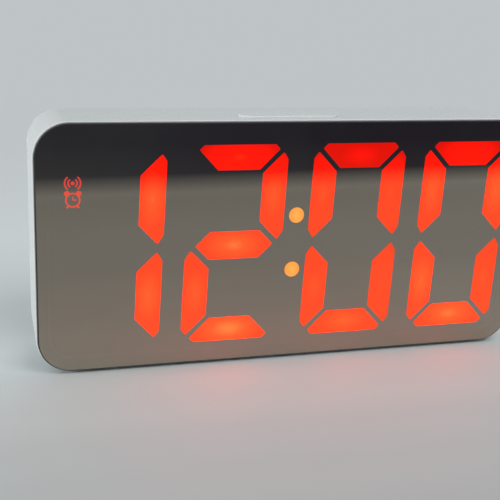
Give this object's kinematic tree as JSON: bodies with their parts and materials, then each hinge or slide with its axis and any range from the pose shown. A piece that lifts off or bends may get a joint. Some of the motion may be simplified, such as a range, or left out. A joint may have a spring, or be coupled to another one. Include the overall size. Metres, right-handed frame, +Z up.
{
  "type": "digital desk clock",
  "caption": "Digital LED desk clock: a half-mirrored rounded front over big slanted lit digits, white case, top snooze bar, rear keys and battery door.",
  "frame": {"origin": "under the middle of the clock, on the surface that its feet stand on", "axes": "+X to the right as the clock is read, the mirrored front faces -Y, +Z up"},
  "size_m": [0.1638, 0.035, 0.0798],
  "materials": {
    "mirror_front": "half-mirrored clear acrylic, warm grey, high gloss",
    "adhesive_tape": "black foam tape",
    "white_case": "white moulded plastic, fine satin texture",
    "key_grey": "white moulded plastic, smooth satin",
    "black_frame": "black moulded plastic, matt face",
    "red_lens": "translucent diffusing resin, lit red",
    "circuit_board": "green solder mask over glass-fibre laminate",
    "led_body": "pale light chip",
    "black_resin": "black moulded resin",
    "plunger_resin": "dark moulded resin",
    "plated_steel": "nickel-plated steel",
    "foot_rubber": "pale soft rubber",
    "cell_label": "plain sleeved dry cell with metal ends",
    "red_wire": "red insulated wire",
    "black_wire": "black insulated wire",
    "ribbon_grey": "grey ribbon cable"
  },
  "bodies": {
    "case": {"mirror_panel": "mirror_front", "panel_tape": "adhesive_tape", "front_frame": "white_case", "rear_shell": "white_case", "light_frame": "black_frame", "hours_tens_lenses": "red_lens", "hours_ones_lenses": "red_lens", "minutes_tens_lenses": "red_lens", "minutes_ones_lenses": "red_lens", "colon_lenses": "red_lens", "alarm_sign": "red_lens", "display_board": "circuit_board", "key_board": "circuit_board", "snooze_board": "circuit_board", "led_chips": "led_body", "control_chips": "black_resin", "key_switches": "black_resin", "snooze_switch": "black_resin", "slider_switch": "black_resin", "buzzer": "black_resin", "ribbon_headers": "black_resin", "socket_tongue": "black_resin", "case_screws": "plated_steel", "display_screws": "plated_steel", "key_board_screws": "plated_steel", "snooze_screws": "plated_steel", "left_contacts": "plated_steel", "right_contacts": "plated_steel", "power_socket": "plated_steel", "crystal": "plated_steel", "rubber_feet": "foot_rubber", "battery_cell_1": "cell_label", "battery_cell_2": "cell_label", "battery_cell_3": "cell_label", "positive_lead": "red_wire", "negative_lead": "black_wire", "snooze_lead": "black_wire", "ribbon_cable": "ribbon_grey"},
    "snooze_button": {"snooze_button": "white_case", "snooze_plunger": "plunger_resin"},
    "mode_key": {"mode_key": "key_grey", "mode_plunger": "plunger_resin"},
    "up_key": {"up_key": "key_grey", "up_plunger": "plunger_resin"},
    "down_key": {"down_key": "key_grey", "down_plunger": "plunger_resin"},
    "alarm_key": {"alarm_key": "key_grey", "alarm_plunger": "plunger_resin"},
    "brightness_slider": {"slider_knob": "key_grey"},
    "battery_door": {"battery_door": "white_case"}
  },
  "joints": [
    {"name": "snooze_press", "type": "slide", "parent": "case", "child": "snooze_button", "axis": [0, 0, -1], "range_m": [0, 0.0006], "stiffness_N_per_m": 1500},
    {"name": "mode_press", "type": "slide", "parent": "case", "child": "mode_key", "axis": [0, -1, 0], "range_m": [0, 0.0005], "stiffness_N_per_m": 1500},
    {"name": "up_press", "type": "slide", "parent": "case", "child": "up_key", "axis": [0, -1, 0], "range_m": [0, 0.0005], "stiffness_N_per_m": 1500},
    {"name": "down_press", "type": "slide", "parent": "case", "child": "down_key", "axis": [0, -1, 0], "range_m": [0, 0.0005], "stiffness_N_per_m": 1500},
    {"name": "alarm_press", "type": "slide", "parent": "case", "child": "alarm_key", "axis": [0, -1, 0], "range_m": [0, 0.0005], "stiffness_N_per_m": 1500},
    {"name": "brightness_slide", "type": "slide", "parent": "case", "child": "brightness_slider", "axis": [1, 0, 0], "range_m": [-0.0018, 0.0018]},
    {"name": "battery_door_tilt", "type": "hinge", "parent": "case", "child": "battery_door", "pos_m": [0, 0.0165, 0.00815], "axis": [-1, 0, 0], "range_deg": [0, 75]}
  ]
}
